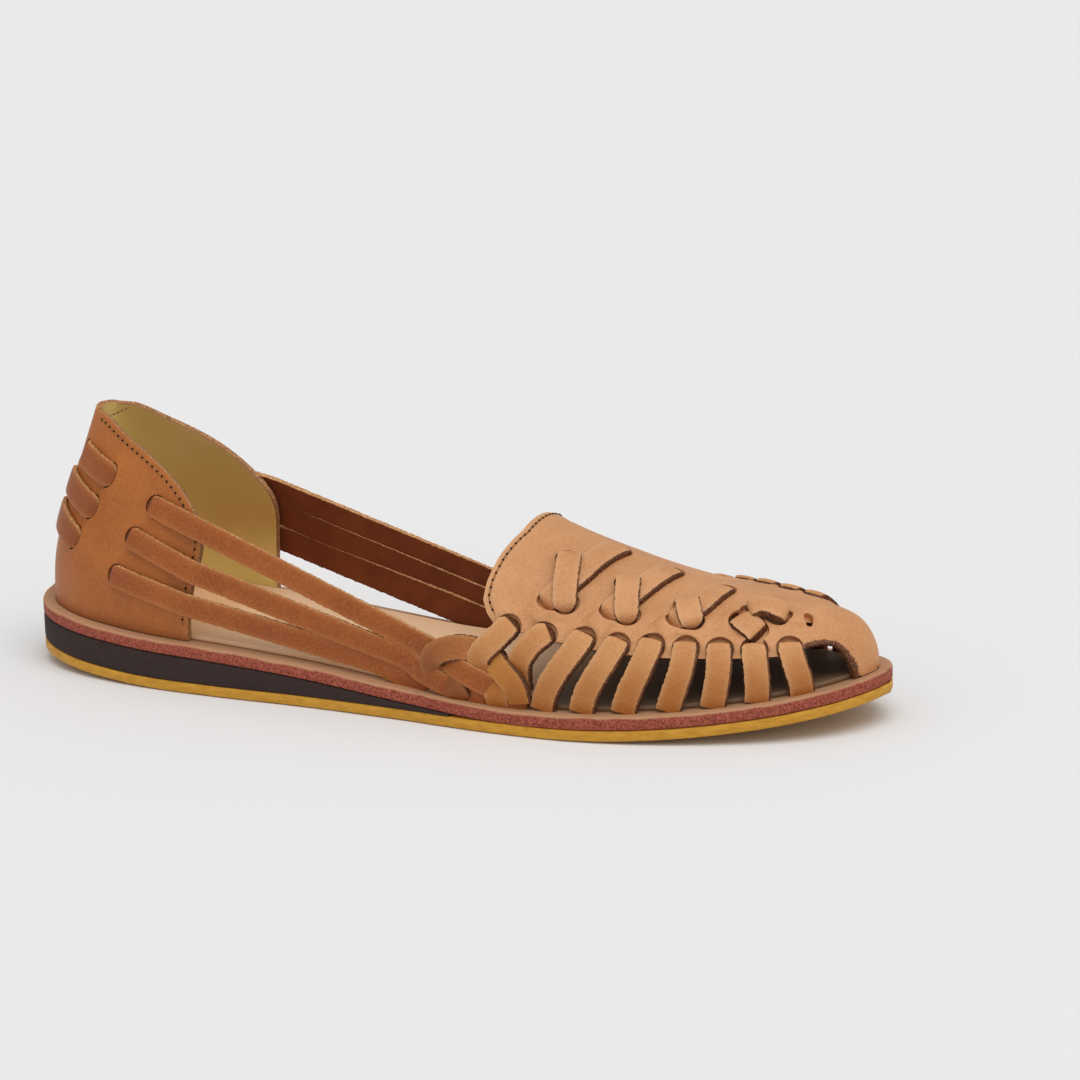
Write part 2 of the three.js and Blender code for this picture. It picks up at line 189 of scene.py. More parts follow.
def upper_point(station, s, grow):
    """The upper's own surface: s is -1 at the outer welt, 0 on the ridge and +1 at the inner."""
    station, s, grow = np.broadcast_arrays(*(np.asarray(a, float) for a in (station, s, grow)))
    inset = RIM + WALL - grow
    outer_edge = outline_at(-1, station, inset)
    inner_edge = outline_at(1, station, inset)
    edge = np.where((s < 0)[..., None], outer_edge, inner_edge)
    middle_x = (outer_edge[..., 0] + inner_edge[..., 0]) / 2
    low = 0.6 * outer_edge[..., 1] + 0.4 * inner_edge[..., 1]
    high = 0.4 * outer_edge[..., 1] + 0.6 * inner_edge[..., 1]
    top = np.stack([middle_x, np.clip(column(SHIFT, station), low, high)], axis=-1)
    turn = np.abs(s) * math.pi / 2
    flat = top + (edge - top) * np.sin(turn)[..., None]
    fade = np.minimum(1, (TOE - station) / 0.5)
    height = column(RIDGE, station) + grow * fade
    z = footbed(flat[..., 0]) + GAP + height * np.maximum(0, np.cos(turn)) ** 0.9
    return np.concatenate([flat, z[..., None]], axis=-1)


def counter_point(side, station, height, grow):
    """The heel counter's surface, height measured up from the footbed."""
    arrays = (np.asarray(a, float) for a in (side, station, height, grow))
    side, station, height, grow = np.broadcast_arrays(*arrays)
    over = (height - LEAN_START) / 2
    rest = math.hypot(LEAN_START / 2, LEAN_SOFTNESS) - LEAN_START / 2
    lean = LEAN_SLOPE * (over + np.hypot(over, LEAN_SOFTNESS) - rest)
    foot = outline_at(side, station, RIM + WALL - grow)
    flat = outline_at(side, station, RIM + WALL - grow + lean)
    z = footbed(foot[..., 0]) + GAP + height
    return np.concatenate([flat, z[..., None]], axis=-1)


def unit(vectors):
    return vectors / (np.linalg.norm(vectors, axis=-1, keepdims=True) + 1e-12)


def surface_normal(point, a, b, out):
    """Outward normals of point(a, b) by its slopes, out being a rough outward direction."""
    step = 1e-3
    along = point(a + step, b) - point(a - step, b)
    across = point(a, b + step) - point(a, b - step)
    normal = unit(np.cross(along, across))
    return normal * np.sign(np.sum(normal * out, axis=-1, keepdims=True))


def upper_normal(station, s, grow=WALL):
    station = np.clip(station, 0.01, TOE - 0.02)
    s = np.clip(s, -0.995, 0.995)
    out = upper_point(station, s, grow + 1) - upper_point(station, s, grow)
    return surface_normal(lambda a, b: upper_point(a, b, grow), station, s, out)


def counter_normal(side, station, height, grow=WALL):
    out = counter_point(side, station, height, grow + 1) - counter_point(side, station, height, grow)
    station = np.maximum(station, 0.01)
    return surface_normal(lambda a, b: counter_point(side, a, b, grow), station, height, out)


def counter_station(side, x, height, grow=WALL):
    """The station where the counter's surface has a given distance from the heel."""
    side, x, height = np.broadcast_arrays(*(np.asarray(a, float) for a in (side, x, height)))
    low, high = np.zeros(x.shape), np.full(x.shape, 6.0)
    for _ in range(30):
        middle = (low + high) / 2
        short = counter_point(side, middle, height, grow)[..., 0] < x
        low, high = np.where(short, middle, low), np.where(short, high, middle)
    return (low + high) / 2


def to_frame(points):
    """Millimetres from the heel into metres in the frame's own axes."""
    return (np.asarray(points) + np.array([HEEL_X, 0, 0])) * MM


# ---- Making pieces ----
def smooth_step(low, high, value):
    t = np.clip((value - low) / (high - low), 0, 1)
    return t * t * (3 - 2 * t)


def active(name):
    obj = bpy.context.object
    obj.name = name
    obj.data.name = name
    return obj


def apply_modifier(obj, kind, **settings):
    bpy.context.view_layer.objects.active = obj
    modifier = obj.modifiers.new(kind.lower(), kind)
    for key, value in settings.items():
        setattr(modifier, key, value)
    bpy.ops.object.modifier_apply(modifier=modifier.name)


def face_out(obj):
    """Turns a closed mesh the right way out."""
    mesh = obj.data
    mesh.calc_loop_triangles()
    volume = 0.0
    for triangle in mesh.loop_triangles:
        a, b, c = (mesh.vertices[i].co for i in triangle.vertices)
        volume += a.dot(b.cross(c))
    if volume < 0:
        mesh.flip_normals()


def set_points(mesh, points):
    mesh.vertices.foreach_set("co", to_frame(points).ravel())
    mesh.update()


def paint(mesh, name, values):
    attribute = mesh.attributes.new(name, "FLOAT", "POINT")
    attribute.data.foreach_set("value", np.asarray(values, float).ravel())


def block(name, across, along, place, tints, bevel):
    """A grid primitive given thickness, whose points place(u, v, w) then carries to the shoe.

    u and v run from 0 to 1 over the sheet, and w from 0 on its outside to 1 on its inside. Faces
    on the outside take the first material, on the rim the second, and on the inside the third.
    """
    bpy.ops.mesh.primitive_grid_add(x_subdivisions=across, y_subdivisions=along, size=2)
    obj = active(name)
    bpy.ops.object.mode_set(mode="EDIT")
    bpy.ops.mesh.select_all(action="SELECT")
    bpy.ops.mesh.extrude_region_move(TRANSFORM_OT_translate={"value": (0, 0, -1)})
    bpy.ops.object.mode_set(mode="OBJECT")
    mesh = obj.data
    count = len(mesh.vertices)
    flat = np.empty(count * 3)
    mesh.vertices.foreach_get("co", flat)
    flat = flat.reshape(-1, 3)
    u, v, w = (flat[:, 0] + 1) / 2, (flat[:, 1] + 1) / 2, np.clip(-flat[:, 2], 0, 1)
    normals = np.empty(len(mesh.polygons) * 3)
    mesh.polygons.foreach_get("normal", normals)
    centres = np.empty(len(mesh.polygons) * 3)
    mesh.polygons.foreach_get("center", centres)
    level = centres.reshape(-1, 3)[:, 2]
    upright = np.abs(normals.reshape(-1, 3)[:, 2]) < 0.5
    kinds = np.where(upright, 1, np.where(level < -0.5, 2, 0))
    mesh.polygons.foreach_set("material_index", kinds.astype(np.int32))
    set_points(mesh, place(u, v, w))
    for key, values in tints(u, v, w).items():
        paint(mesh, key, values)
    face_out(obj)
    if bevel:
        apply_modifier(obj, "BEVEL", width=bevel * MM, segments=2, limit_method="ANGLE",
                       angle_limit=math.radians(50))
    finish_mesh(obj)
    return obj


def finish_mesh(obj, angle=42):
    bpy.ops.object.select_all(action="DESELECT")
    obj.select_set(True)
    bpy.context.view_layer.objects.active = obj
    bpy.ops.object.shade_smooth_by_angle(angle=math.radians(angle))
    obj.select_set(False)


def ring_block(name, turns, profile, place):
    """A closed slab round the sole's outline. profile has rows of inset, part of the way to the
    middle line, and level from 0 at the bottom to 1 at the top."""
    rows = np.array(profile, float)
    bpy.ops.mesh.primitive_grid_add(x_subdivisions=turns, y_subdivisions=len(rows) - 1, size=2)
    obj = active(name)
    mesh = obj.data
    flat = np.empty(len(mesh.vertices) * 3)
    mesh.vertices.foreach_get("co", flat)
    flat = flat.reshape(-1, 3)
    turn = (flat[:, 0] + 1) / 2 * RING_COUNT
    row = np.rint((flat[:, 1] + 1) / 2 * (len(rows) - 1)).astype(int)
    inset, inwards, level = rows[row].T
    set_points(mesh, place(turn, inset, inwards, level))
    paint(mesh, "level", level)
    bpy.ops.object.mode_set(mode="EDIT")
    bpy.ops.mesh.select_all(action="SELECT")
    bpy.ops.mesh.remove_doubles(threshold=1e-7)
    bpy.ops.mesh.normals_make_consistent(inside=False)
    bpy.ops.object.mode_set(mode="OBJECT")
    face_out(obj)
    finish_mesh(obj, 50)
    return obj


def slab_place(bottom, top, front=TOE):
    """Carries a ring block's points to a layer of the sole that ends at the front station."""
    def place(turn, inset, inwards, level):
        back = np.where(turn > RING_COUNT / 2, RING_COUNT - turn, turn) * front / TOE
        side = np.where(turn > RING_COUNT / 2, 1, -1)
        edge = outline_at(side, back, inset)
        middle = (outline_at(-1, back, inset) + outline_at(1, back, inset)) / 2
        flat = edge + (middle - edge) * inwards[:, None]
        z = bottom(flat[:, 0]) * (1 - level) + top(flat[:, 0]) * level
        return np.concatenate([flat, z[:, None]], axis=1)
    return place


def curve_through(points, count):
    """An even curve through a few chosen points, sampled at count places of equal length."""
    points = np.asarray(points, float)
    padded = np.vstack([2 * points[0] - points[1], points, 2 * points[-1] - points[-2]])
    fine = []
    for row in range(len(points) - 1):
        t = np.linspace(0, 1, 24, endpoint=False)[:, None]
        fine.append(catmull_rom(padded[row], padded[row + 1], padded[row + 2], padded[row + 3], t))
    fine.append(points[-1:])
    fine = np.vstack(fine)
    length = np.concatenate([[0], np.cumsum(np.linalg.norm(np.diff(fine[:, :3], axis=0), axis=1))])
    places = np.linspace(0, length[-1], count)
    return np.stack([np.interp(places, length, axis) for axis in fine.T], axis=1)


STRAP_STEP = 0.55  # mm between the rows of points along a strap
STRAP_BEVEL = 0.18
RAGGED = 0.14  # how far a cut edge wanders
FRAY_WIDTH = 0.8
SLOT_SHADE_FULL, SLOT_SHADE_END = 1.0, 1.7  # painted shade on a sunk end, in the colour of cut leather: full up to the first, none from the second


def strap(name, path, width=STRAP_WIDTH, thick=STRAP, dive=(3.0, 0), corner=(1.0, 0), curl=0.4,
          seed=0, darken=0.0, fray=0.0, slot_shade=(1, 0)):
    """A leather strap along a path of rows: middle of its inner face, then its outward normal.

    dive says how deep each end sinks into its slot, corner how round the end is cut, as a part of
    half the width, and the last argument whether the end, sunk in its slot, gets painted shade in the colour
    of cut leather."""
    length = np.linalg.norm(np.diff(path[:, :3], axis=0), axis=1).sum()
    steps = max(14, int(length / STRAP_STEP))
    fine = curve_through(path, steps + 1)
    middle, normal = fine[:, :3], unit(fine[:, 3:6])
    run = unit(np.gradient(middle, axis=0))
    normal = unit(normal - run * np.sum(normal * run, axis=1, keepdims=True))
    aside = np.cross(normal, run)
    distance = np.linspace(0, length, steps + 1)
    half = np.full(steps + 1, width / 2)
    for away, depth, roundness in zip((distance, length - distance), dive, corner):
        radius = max(0.01, roundness * width / 2)
        reach = np.clip(radius - away, 0, radius * 0.985)
        half = np.minimum(half, width / 2 - radius + np.sqrt(radius ** 2 - reach ** 2))
        sink = depth * np.clip(1 - away / SINK_LENGTH, 0, 1) ** 2
        middle = middle - normal * sink[:, None]
    toe_side = math.copysign(1, aside[len(aside) // 2, 0])
    dice = random.Random(seed)
    tone_shift = dice.uniform(0, 0.3) if darken else 0.0
    wobble = np.array([[dice.uniform(-1, 1) for _ in range(steps + 1)] for _ in range(4)])

    def place(u, v, w):
        row = np.rint(v * steps).astype(int)
        across = 2 * u - 1
        side = (across < 0).astype(int) + 2 * (w > 0.5)
        ragged = wobble[side, row] * np.abs(across) ** 6 * RAGGED
        offset = across * (half[row] + ragged)
        lift = thick * (1 - w) - curl * np.abs(across) ** 2.5
        return middle[row] + aside[row] * offset[:, None] + normal[row] * lift[:, None]

    def tints(u, v, w):
        # a random tone for each strap, then darker towards its far end: partly a burnished tone, partly
        # painted shade where a side strap tucks under at its foot
        tone_burnish_and_shade = (tone_shift + darken * smooth_step(0.12, 0.8, v)
                   + 0.35 * darken * smooth_step(0.8, 1.0, v))
        across = 2 * u - 1
        row = np.rint(v * steps).astype(int)
        margin = (1 - np.abs(across)) * half[row]
        side = np.where(across * toe_side > 0, 1.0, 0.3)
        cut_edge_and_slot_shade = fray * side * np.exp(-margin / FRAY_WIDTH) * (w < 0.5)
        # painted shade in each slot: the end sunk into it takes the dark colour of cut leather
        for away, depth, dark in zip((distance, length - distance), dive, slot_shade):
            sunk_shade = smooth_step(SLOT_SHADE_END, SLOT_SHADE_FULL, away[row])
            cut_edge_and_slot_shade = np.maximum(cut_edge_and_slot_shade, 1.3 * sunk_shade * dark * (depth > 0))
        # paler towards the long edges: partly rubbed, partly a painted highlight
        return {"edge": np.abs(across) ** 4 * (w < 0.5), "run": tone_burnish_and_shade, "cut_edge_and_slot_shade": cut_edge_and_slot_shade,
                "shade": np.zeros(len(u))}

    return block(name, 10, steps, place, tints, bevel=STRAP_BEVEL)


def path_on_upper(side, rows):
    """Strap path rows from x, s and lift over the upper's inner face."""
    rows = np.array(rows, float)
    station = station_at(side_x(side, rows[:, 0]))
    s = side * rows[:, 1]
    point = upper_point(station, s, 0.0)
    normal = upper_normal(station, s)
    return np.hstack([point + normal * rows[:, 2:3], normal])


def path_on_counter(side, rows, lift):
    """Strap path rows from x and z on the counter's outer face, with a lift for each."""
    rows = np.array(rows, float)
    height = rows[:, 1] - footbed(rows[:, 0]) - GAP
    station = counter_station(side, rows[:, 0], height)
    point = counter_point(side, station, height, WALL)
    normal = counter_normal(side, station, height)
    return np.hstack([point + normal * np.array(lift)[:, None], normal])


def toe_shift(x):
    """How much further back the inner side's straps and openings sit, growing towards the toe."""
    forward = np.maximum(0, (x - 150) / (SHOE_LENGTH - 150))
    return 5 * forward ** 2


def side_x(side, x):
    return x if side < 0 else x - toe_shift(x)


# ---- Slots: where a strap dives through the leather ----
SINK_LENGTH = 2.7
POCKET = 3
SLOT_LIP = 0.3
CUTTER_REACH = 4.0  # how far a cutter stands out of the leather


def slot_cutters(name, slots, depth):
    """Round cutters that open a pocket in the leather beyond the end of each strap."""
    bpy.ops.object.select_all(action="DESELECT")
    parts = []
    for centre, direction, normal, radius, back, shape in slots:
        aside = np.cross(normal, direction)
        bpy.ops.mesh.primitive_cylinder_add(vertices=36, radius=1, depth=1)
        part = active(name)
        points = np.array([vertex.co for vertex in part.data.vertices])
        along = points[:, :1] * (radius + SLOT_LIP) * shape
        middle = centre + direction * (radius * shape - back)
        carried = (middle + direction * along + aside * points[:, 1:2] * (radius + SLOT_LIP)
                   + normal * (points[:, 2:] * (CUTTER_REACH + depth) + (CUTTER_REACH - depth) / 2))
        set_points(part.data, carried)
        face_out(part)
        # the pocket's walls take the near-black slot material: painted shade in the slot
        for face in part.data.polygons:
            face.material_index = POCKET
        parts.append(part)
    for part in parts:
        part.select_set(True)
    bpy.context.view_layer.objects.active = parts[0]
    bpy.ops.object.join()
    bpy.ops.object.select_all(action="DESELECT")
    return parts[0]


def cut_slots(obj, batches, depth):
    for number, slots in enumerate(batches):
        cutter = slot_cutters(f"slot_cutter_{number}", slots, depth)
        for _ in range(POCKET + 1):
            cutter.data.materials.append(None)
        apply_modifier(obj, "BOOLEAN", object=cutter, operation="DIFFERENCE", solver="EXACT",
                       material_mode="INDEX")
        bpy.data.objects.remove(cutter)
    finish_mesh(obj, 45)


def slot_relief(points, slots, swell=0.45, hump=1.5):
    """How far the slots push a leather surface in or out.

    Beyond the strap's end the lip swells, and where the strap runs on under the leather it
    raises a hump of the given length."""
    push = np.zeros(len(points))
    for centre, direction, normal, radius, back, shape, ridge in slots:
        away = points - centre
        along = away @ direction
        cross = away @ np.cross(normal, direction)
        depth = np.abs(away @ normal) < 9
        distance = np.hypot((along - radius * shape) / shape, cross)
        rear = smooth_step(radius * shape + 1.0, radius * shape - 1.5, along) * depth
        push += swell * np.exp(-((distance - radius - back - 0.6) / 1.5) ** 2) * rear
        if ridge:
            under = np.clip(1 - (cross / (radius * 1.1)) ** 2, 0, 1) ** 0.6
            window = smooth_step(-ridge - 2.2, -ridge + 1.2, along) * smooth_step(1.5, -0.2, along)
            push += hump * under * window * depth
    return push


def slot_from_path(path, radius=STRAP_WIDTH / 2, ridge=0.0, end=False, back=1.1, shape=1.0,
                   raise_by=0.0):
    """A slot at one end of a strap's path."""
    rows = path[::-1] if end else path
    fine = curve_through(rows, 40)
    direction = unit(fine[6, :3] - fine[0, :3])
    normal = unit(fine[0, 3:6])
    direction = unit(direction - normal * np.dot(direction, normal))
    return fine[0, :3] + normal * raise_by, direction, normal, radius, back, shape, ridge


# ---- Materials ----
def colour(code):
    """A colour written as in paint charts, in the linear values that shaders use."""
    channels = [int(code[i:i + 2], 16) / 255 for i in (0, 2, 4)]
    return [c / 12.92 if c <= 0.04045 else ((c + 0.055) / 1.055) ** 2.4 for c in channels] + [1]


class Nodes:
    """Short words for adding and joining shader nodes."""

    def __init__(self, tree):
        self.tree = tree

    def add(self, kind, **settings):
        node = self.tree.nodes.new(kind)
        for key, value in settings.items():
            setattr(node, key, value)
        return node

    def join(self, source, target):
        self.tree.links.new(source, target)

    def value(self, target, content):
        if isinstance(content, bpy.types.NodeSocket):
            self.join(content, target)
        else:
            target.default_value = content

    def noise(self, vector, scale, detail=3.0, rough=0.55):
        node = self.add("ShaderNodeTexNoise")
        self.join(vector, node.inputs["Vector"])
        node.inputs["Scale"].default_value = scale
        node.inputs["Detail"].default_value = detail
        node.inputs["Roughness"].default_value = rough
        return node.outputs["Fac"]

    def maths(self, kind, a, b=0.5, clamp=False):
        node = self.add("ShaderNodeMath", operation=kind, use_clamp=clamp)
        self.value(node.inputs[0], a)
        self.value(node.inputs[1], b)
        return node.outputs[0]

    def remap(self, value, low, high, to_low=0.0, to_high=1.0):
        node = self.add("ShaderNodeMapRange")
        self.value(node.inputs["Value"], value)
        node.inputs["From Min"].default_value = low
        node.inputs["From Max"].default_value = high
        node.inputs["To Min"].default_value = to_low
        node.inputs["To Max"].default_value = to_high
        return node.outputs["Result"]

    def mix(self, factor, a, b):
        node = self.add("ShaderNodeMix", data_type="RGBA", blend_type="MIX")
        self.value(node.inputs[0], factor)
        self.value(node.inputs[6], a)
        self.value(node.inputs[7], b)
        return node.outputs[2]

    def attribute(self, name):
        return self.add("ShaderNodeAttribute", attribute_name=name).outputs["Fac"]


def new_group(name, inputs, outputs):
    tree = bpy.data.node_groups.new(name, "ShaderNodeTree")
    for label, default in inputs:
        socket = tree.interface.new_socket(label, in_out="INPUT", socket_type="NodeSocketFloat")
        socket.default_value = default
    for label in outputs:
        tree.interface.new_socket(label, in_out="OUTPUT", socket_type="NodeSocketFloat")
    nodes = Nodes(tree)
    return tree, nodes, nodes.add("NodeGroupInput"), nodes.add("NodeGroupOutput")


def object_vector(nodes, stretch=(1, 1, 1)):
    source = nodes.add("ShaderNodeTexCoord").outputs["Object"]
    mapping = nodes.add("ShaderNodeMapping")
    nodes.join(source, mapping.inputs["Vector"])
    mapping.inputs["Scale"].default_value = stretch
    return mapping.outputs["Vector"]


def make_grain_group():
    """Leather grain: fine pebbles, pores and slow mottling."""
    tree, nodes, start, end = new_group("leather_grain", [("Pebble", 1.0)], ["Height", "Mottle", "Fleck"])
    vector = object_vector(nodes)
    cells = nodes.add("ShaderNodeTexVoronoi", feature="SMOOTH_F1")
    nodes.join(vector, cells.inputs["Vector"])
    cells.inputs["Scale"].default_value = 1150
    cells.inputs["Smoothness"].default_value = 0.6
    pebble = nodes.maths("MULTIPLY", cells.outputs["Distance"], start.outputs["Pebble"])
    fine = nodes.noise(vector, 3200, 2.0)
    height = nodes.maths("ADD", pebble, nodes.maths("MULTIPLY", fine, 0.45))
    nodes.join(height, end.inputs["Height"])
    slow = nodes.noise(vector, 70, 4.0, 0.6)
    nodes.join(nodes.remap(slow, 0.32, 0.68), end.inputs["Mottle"])
    fleck = nodes.remap(nodes.noise(vector, 1300, 3.0, 0.7), 0.42, 0.68)
    nodes.join(fleck, end.inputs["Fleck"])
    return tree


def make_fibre_group():
    """Raw cut leather: short fibres and dark flecks."""
    tree, nodes, _, end = new_group("raw_fibre", [], ["Height", "Fleck"])
    vector = object_vector(nodes)
    coarse = nodes.noise(vector, 1500, 4.0, 0.75)
    nodes.join(coarse, end.inputs["Height"])
    nodes.join(nodes.remap(coarse, 0.4, 0.62), end.inputs["Fleck"])
    return tree


GRAIN = make_grain_group()
FIBRE = make_fibre_group()


def new_material(name, roughness):
    material = bpy.data.materials.new(name)
    material.use_nodes = True
    nodes = Nodes(material.node_tree)
    shader = material.node_tree.nodes["Principled BSDF"]
    shader.inputs["Roughness"].default_value = roughness
    shader.inputs["Specular IOR Level"].default_value = 0.28
    return material, nodes, shader


def bump(nodes, shader, height, distance, strength=1.0):
    node = nodes.add("ShaderNodeBump")
    node.inputs["Distance"].default_value = distance
    node.inputs["Strength"].default_value = strength
    nodes.join(height, node.inputs["Height"])
    nodes.join(node.outputs["Normal"], shader.inputs["Normal"])


def leather_material(name, tone, deep, pale, roughness=0.5, pebble=1.0, rub_and_highlight=0.35, foot="7a4520"):
    """Tanned leather: mottled colour; painted shade where the shade attribute asks for it; darker towards a
    strap's far end, partly burnished and partly painted shade; paler edges, partly rubbed and partly a
    painted highlight; cut-leather colour at frayed edges and as painted shade on strap ends sunk in slots.
    """
    material, nodes, shader = new_material(name, roughness)
    grain = nodes.add("ShaderNodeGroup", node_tree=GRAIN)
    grain.inputs["Pebble"].default_value = pebble
    base = nodes.mix(grain.outputs["Mottle"], colour(tone), colour(deep))
    fleck = nodes.maths("MULTIPLY", grain.outputs["Fleck"], 0.26)
    base = nodes.mix(fleck, base, colour(pale))
    # darker towards a strap's far end: partly a burnished tone, partly painted shade
    base = nodes.mix(nodes.attribute("run"), base, colour(foot))
    # paler near the edges: partly rubbed, partly a painted highlight
    edge = nodes.maths("MULTIPLY", nodes.attribute("edge"), rub_and_highlight, clamp=True)
    base = nodes.mix(edge, base, colour(pale))
    shade = nodes.maths("MULTIPLY", nodes.attribute("shade"), 0.88, clamp=True)
    base = nodes.mix(shade, base, colour("4a2412"))
    # the colour of cut leather where an edge frays, and as painted shade on a strap's end sunk in its slot
    fibre = nodes.add("ShaderNodeGroup", node_tree=FIBRE)
    fray = nodes.maths("MULTIPLY", nodes.remap(fibre.outputs["Height"], 0.3, 0.7), 0.5)
    cut_edge_and_slot_shade = nodes.remap(nodes.maths("ADD", nodes.attribute("cut_edge_and_slot_shade"), fray), 0.85, 1.0)
    cut = nodes.mix(fibre.outputs["Fleck"], colour("3b1d0e"), colour("7e4c2a"))
    base = nodes.mix(cut_edge_and_slot_shade, base, cut)
    nodes.join(base, shader.inputs["Base Color"])
    rough = nodes.remap(grain.outputs["Fleck"], 0, 1, roughness - 0.05, roughness + 0.12)
    nodes.join(rough, shader.inputs["Roughness"])
    bump(nodes, shader, grain.outputs["Height"], 0.00022, 0.75)
    return material


def raw_edge_material(name, dark, light, depth=0.0005):
    """Cut edge of leather, dark and fuzzy."""
    material, nodes, shader = new_material(name, 0.85)
    fibre = nodes.add("ShaderNodeGroup", node_tree=FIBRE)
    nodes.join(nodes.mix(fibre.outputs["Fleck"], colour(dark), colour(light)), shader.inputs["Base Color"])
    bump(nodes, shader, fibre.outputs["Height"], depth, 0.8)
    return material


def welt_edge_material():
    """Stacked leather board: burnished tan at the top corner, red-brown open grain below."""
    material, nodes, shader = new_material("welt_edge", 0.7)
    fibre = nodes.add("ShaderNodeGroup", node_tree=FIBRE)
    grained = nodes.mix(fibre.outputs["Fleck"], colour("7a3022"), colour("b4614a"))
    vector = object_vector(nodes)
    wander = nodes.remap(nodes.noise(vector, 120, 3.0), 0.3, 0.7, -0.08, 0.08)
    level = nodes.maths("ADD", nodes.attribute("level"), wander)
    top = nodes.remap(level, 0.80, 0.95)
    base = nodes.mix(top, grained, colour("b98a66"))
    nodes.join(base, shader.inputs["Base Color"])
    bump(nodes, shader, fibre.outputs["Height"], 0.0003, 0.7)
    return material


def rubber_material(name, tone, deep, roughness, scale):
    material, nodes, shader = new_material(name, roughness)
    vector = object_vector(nodes, (1, 1, 3))
    cloud = nodes.noise(vector, scale, 5.0, 0.65)
    base = nodes.mix(nodes.remap(cloud, 0.35, 0.65), colour(tone), colour(deep))
    nodes.join(base, shader.inputs["Base Color"])
    bump(nodes, shader, cloud, 0.0004, 0.5)
    return material


def plain_leather_material(name, tone, deep, roughness, scale, dark="3a2415"):
    """Smooth lining and footbed leather, with a slow cloud and a faint fine grain."""
    material, nodes, shader = new_material(name, roughness)
    grain = nodes.add("ShaderNodeGroup", node_tree=GRAIN)
    grain.inputs["Pebble"].default_value = 0.4
    vector = object_vector(nodes)
    cloud = nodes.remap(nodes.noise(vector, scale, 3.0), 0.3, 0.7)
    base = nodes.mix(cloud, colour(tone), colour(deep))
    shade = nodes.maths("MULTIPLY", nodes.attribute("shade"), 0.8, clamp=True)
    base = nodes.mix(shade, base, colour(dark))
    nodes.join(base, shader.inputs["Base Color"])
    bump(nodes, shader, grain.outputs["Height"], 0.0001, 0.4)
    return material


VAMP = leather_material("vamp_leather", "cf9362", "c08352", "e6bc90", 0.5)
STRAP_TAN = leather_material("side_strap_leather", "d0945f", "c2824c", "e4b888", 0.5, rub_and_highlight=0.4, foot="a8662a")
STRAP_GOLD = leather_material("gold_strap_leather", "c98a42", "b4742e", "d8a05e", 0.5, rub_and_highlight=0.3, foot="a8662a")
STRAP_RUSSET = leather_material("russet_strap_leather", "b4703a", "a05c2a", "cf955c", 0.45, rub_and_highlight=0.3,
                                foot="8a4c22")
QUARTER = leather_material("quarter_strap_leather", "9c501c", "8a4214", "c8864c", 0.42, pebble=0.4, rub_and_highlight=0.4,
                           foot="8a4a20")
COUNTER = leather_material("counter_leather", "b06428", "9f5620", "cc8a4c", 0.4, pebble=0.35)
RAW = raw_edge_material("raw_leather_edge", "3b1d0e", "8a5530")
RAW_LIGHT = raw_edge_material("pale_leather_edge", "9c6438", "dcab78", 0.0002)
RIM_LEATHER = raw_edge_material("collar_rim", "80502e", "cc9868", 0.0003)
# cut leather inside the slots, made near black as painted shade
SHADED_SLOT_EDGE = raw_edge_material("shaded_slot_edge", "200d06", "4e2914")
FLESH = plain_leather_material("flesh_side_leather", "7c3f1e", "693014", 0.8, 90)
LINING = plain_leather_material("lining_leather", "ecda90", "dcc272", 0.6, 30, dark="9a5a24")
BINDING = plain_leather_material("collar_binding", "b98450", "a06c3c", 0.6, 200)
FOOTBED = plain_leather_material("footbed_leather", "f0c8a2", "e2b488", 0.55, 25)
WELT_EDGE = welt_edge_material()
WEDGE = rubber_material("wedge_rubber", "3a2b28", "302320", 0.8, 700)
CREPE = rubber_material("crepe_rubber", "cf9a34", "b98224", 0.5, 260)
THREAD = plain_leather_material("thread", "b0753f", "94602e", 0.7, 900)
# near-black marks in the stitch holes: painted shade
HOLE_SHADE = plain_leather_material("stitch_hole_shade", "2a140a", "1e0e06", 0.9, 900)


def dress(obj, materials, slot, *nodes):
    """Gives a piece its materials and its body, and hides the CAD nodes that it stands for; its finish, in
    slot, is not used.
    """
    for material in materials:
        obj.data.materials.append(material)
    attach(obj, "root")
    if nodes:
        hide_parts(*nodes)
    return obj


# ---- Sole ----
ROUND_EDGE = [(0, 1, 0), (0, 0.5, 0), (2, 0, 0), (0.5, 0, 0), (0.15, 0, 0.05), (0, 0, 0.16), (0, 0, 0.5),
              (0, 0, 0.84), (0.15, 0, 0.95), (0.5, 0, 1), (1.2, 0, 1), (3, 0, 1), (7, 0, 1), (0, 0.5, 1),
              (0, 1, 1)]


def sole_pieces():
    turns = 420
    outsole = ring_block("outsole_crepe", turns, ROUND_EDGE, slab_place(
        underside, lambda x: underside(x) + OUTSOLE + 0.12))
    dress(outsole, [CREPE], "crepe_rubber", "outsole")
    front = float(station_at(WEDGE_FRONT))
    wedge = ring_block("wedge_foam", turns, ROUND_EDGE, slab_place(
        lambda x: underside(x) + OUTSOLE + GAP / 2, lambda x: footbed(x) - WELT - GAP / 2, front))
    dress(wedge, [WEDGE], "wedge_rubber", "midsole_wedge")
    welt = ring_block("welt_board", turns, ROUND_EDGE, slab_place(
        lambda x: np.maximum(footbed(x) - WELT, underside(x) + OUTSOLE + 0.14), footbed))
    dress(welt, [WELT_EDGE], "welt_leather", "welt")
    inset = RIM + WALL + GAP

    def footbed_top(x):
        return footbed(x) + GAP + INSOLE

    def place(turn, inset_here, inwards, level):
        return slab_place(lambda x: footbed(x) + 0.05, footbed_top)(turn, inset_here + inset, inwards, level)

    insole = ring_block("footbed_sheet", turns, ROUND_EDGE, place)
    along = np.array([vertex.co.x for vertex in insole.data.vertices]) / MM - HEEL_X
    paint(insole.data, "shade", smooth_step(158, 178, along))
    dress(insole, [FOOTBED], "footbed_leather", "insole")


